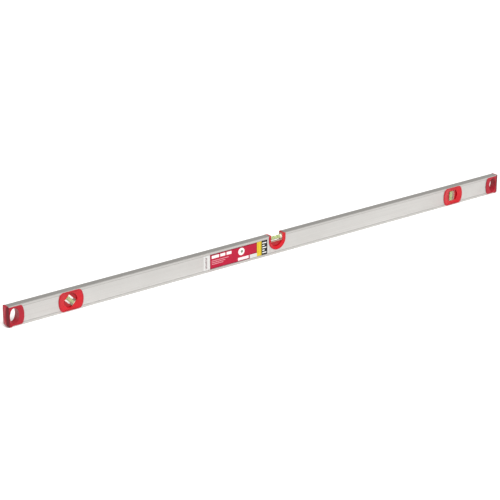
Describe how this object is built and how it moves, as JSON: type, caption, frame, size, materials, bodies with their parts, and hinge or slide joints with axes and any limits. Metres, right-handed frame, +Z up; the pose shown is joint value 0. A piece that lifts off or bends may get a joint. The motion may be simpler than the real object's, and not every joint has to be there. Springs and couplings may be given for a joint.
{
  "type": "spirit level",
  "caption": "Long box-section spirit level with moulded end caps that have hang holes, and level, plumb and slope vials in snap-in inserts, each with a moving bubble.",
  "frame": {"origin": "middle of the bottom working face", "axes": "+X along the level towards the plumb vial's end, -Y out of the labelled front face, +Z up from the bottom working face"},
  "size_m": [1.5, 0.0204, 0.05],
  "materials": {
    "profile": "brushed and anodised",
    "cap": "moulded satin gloss",
    "insert": "moulded gloss",
    "vial": "clear acrylic",
    "plug": "translucent white",
    "rings": "black print",
    "liquid": "yellow-green liquid",
    "bubble": "clear air",
    "label": "printed film"
  },
  "bodies": {
    "level": {"aluminium_profile": "profile", "end_cap_left": "cap", "end_cap_right": "cap", "centre_bezel_front": "insert", "centre_bezel_back": "insert", "plumb_bezel_front": "insert", "plumb_bezel_back": "insert", "slope_bezel_front": "insert", "slope_bezel_back": "insert", "front_label": "label", "centre_vial_block": "vial", "centre_vial_plug": "plug", "centre_vial_rings": "rings", "centre_vial_liquid": "liquid", "plumb_vial_block": "vial", "plumb_vial_plug": "plug", "plumb_vial_rings": "rings", "plumb_vial_liquid": "liquid", "slope_vial_block": "vial", "slope_vial_plug": "plug", "slope_vial_rings": "rings", "slope_vial_liquid": "liquid"},
    "centre_bubble": {"centre_vial_bubble": "bubble"},
    "plumb_bubble": {"plumb_vial_bubble": "bubble"},
    "slope_bubble": {"slope_vial_bubble": "bubble"}
  },
  "joints": [
    {"name": "centre_bubble_slide", "type": "slide", "parent": "level", "child": "centre_bubble", "axis": [1, 0, 0], "range_m": [-0.008, 0.008], "stiffness_N_per_m": 1},
    {"name": "plumb_bubble_slide", "type": "slide", "parent": "level", "child": "plumb_bubble", "axis": [0, 0, -1], "range_m": [0, 0.016], "stiffness_N_per_m": 1, "springref_m": -0.012},
    {"name": "slope_bubble_slide", "type": "slide", "parent": "level", "child": "slope_bubble", "axis": [0.7071, 0, -0.7071], "range_m": [0, 0.016], "stiffness_N_per_m": 1, "springref_m": -0.012}
  ]
}
